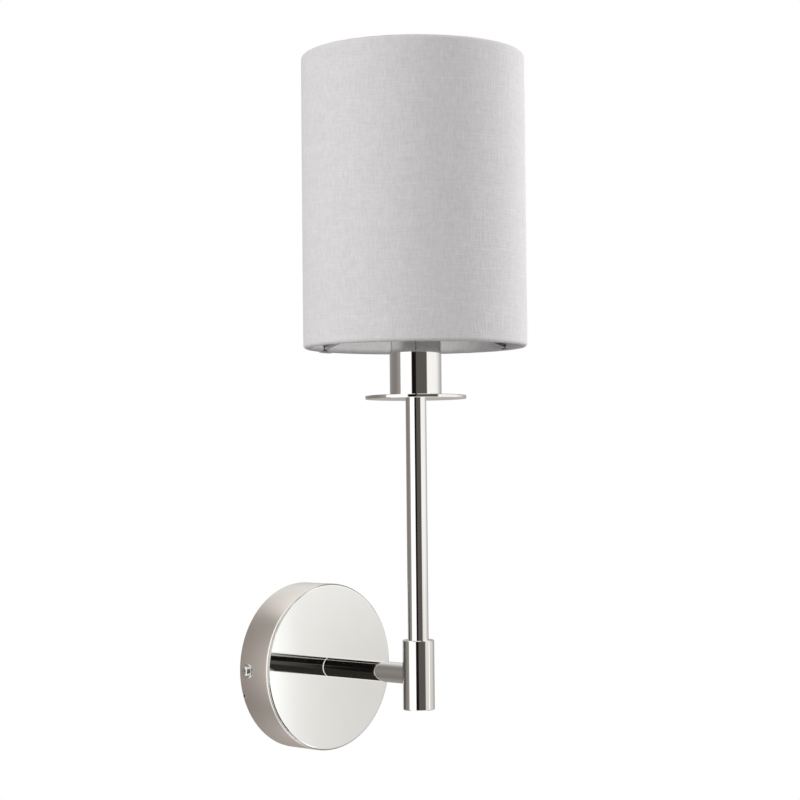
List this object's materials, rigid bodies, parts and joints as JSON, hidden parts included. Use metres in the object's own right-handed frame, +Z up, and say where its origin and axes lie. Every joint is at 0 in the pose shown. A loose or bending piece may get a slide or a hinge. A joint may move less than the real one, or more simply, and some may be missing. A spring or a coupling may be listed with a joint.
{
  "type": "fabric shade wall light",
  "caption": "Wall light with a round backplate, a short horizontal arm, an upright stem, a lampholder cup over a thin disc, and a tall fabric drum shade.",
  "frame": {"origin": "on the wall plane, at the middle of the slotted wall bracket behind the round backplate", "axes": "+Z up along the stem, +Y into the wall, +X to the right as seen from the room"},
  "size_m": [0.13, 0.165, 0.4085],
  "materials": {
    "polished_nickel": "mirror polished nickel plate",
    "zinc_steel": "zinc plated steel",
    "brass": "bare brass",
    "white_plastic": "moulded white plastic",
    "black_plastic": "moulded black heat-resistant plastic",
    "white_ceramic": "unglazed ceramic",
    "brown_wire": "brown wire covering",
    "blue_wire": "blue wire covering",
    "green_yellow_wire": "green wire covering with a yellow stripe",
    "linen_fabric": "pale grey-white plain woven linen-look cloth",
    "shade_lining_sheet": "translucent white plastic lining sheet",
    "lamp_cap_metal": "plain metal",
    "lamp_insulator_glass": "black vitrified insulator",
    "clear_glass": "clear glass",
    "yellow_phosphor": "yellow phosphor coating"
  },
  "bodies": {
    "light": {"arm_end_nipple": "zinc_steel", "arm_lock_nut": "zinc_steel", "arm_lock_washer": "zinc_steel", "arm_nipple": "zinc_steel", "arm_tube": "polished_nickel", "backplate_cover": "polished_nickel", "block_screw": "zinc_steel", "centre_contact": "brass", "contact_block": "white_ceramic", "cover_screws": "polished_nickel", "cover_washers": "polished_nickel", "cup_disc": "polished_nickel", "earth_lock_washer": "zinc_steel", "earth_screw": "zinc_steel", "earth_tag": "brass", "earth_wire": "green_yellow_wire", "holder_base": "black_plastic", "holder_skirt": "black_plastic", "holder_terminal_screws": "zinc_steel", "holder_terminals": "brass", "knuckle": "polished_nickel", "knuckle_plug": "polished_nickel", "lampholder_cup": "polished_nickel", "live_wire": "brown_wire", "neutral_wire": "blue_wire", "screw_contact": "brass", "stem_lower_nipple": "zinc_steel", "stem_tube": "polished_nickel", "stem_upper_nipple": "zinc_steel", "terminal_block": "white_plastic", "terminal_inserts": "brass", "terminal_screws": "zinc_steel", "wall_bracket": "zinc_steel"},
    "shade_ring": {"shade_ring": "black_plastic"},
    "shade": {"shade_bottom_ring": "zinc_steel", "shade_top_ring": "zinc_steel", "shade_gallery": "zinc_steel", "shade_spokes": "zinc_steel", "shade_lining": "shade_lining_sheet", "shade_fabric": "linen_fabric"},
    "lamp": {"lamp_cap": "lamp_cap_metal", "lamp_contact": "lamp_cap_metal", "lamp_insulator": "lamp_insulator_glass", "lamp_globe": "clear_glass", "lamp_stem": "clear_glass", "filament_leads": "lamp_cap_metal", "led_filaments": "yellow_phosphor"}
  },
  "joints": [
    {"name": "lamp_out", "type": "slide", "parent": "light", "child": "lamp", "axis": [0, 0, 1], "range_m": [0, 0.18]},
    {"name": "shade_ring_turn", "type": "hinge", "parent": "light", "child": "shade_ring", "pos_m": [0, -0.1, 0.2085], "axis": [0, 0, 1], "range_deg": [0, 1080]},
    {"name": "shade_turn", "type": "hinge", "parent": "light", "child": "shade", "pos_m": [0, -0.1, 0.205], "axis": [0, 0, 1], "continuous": true}
  ]
}
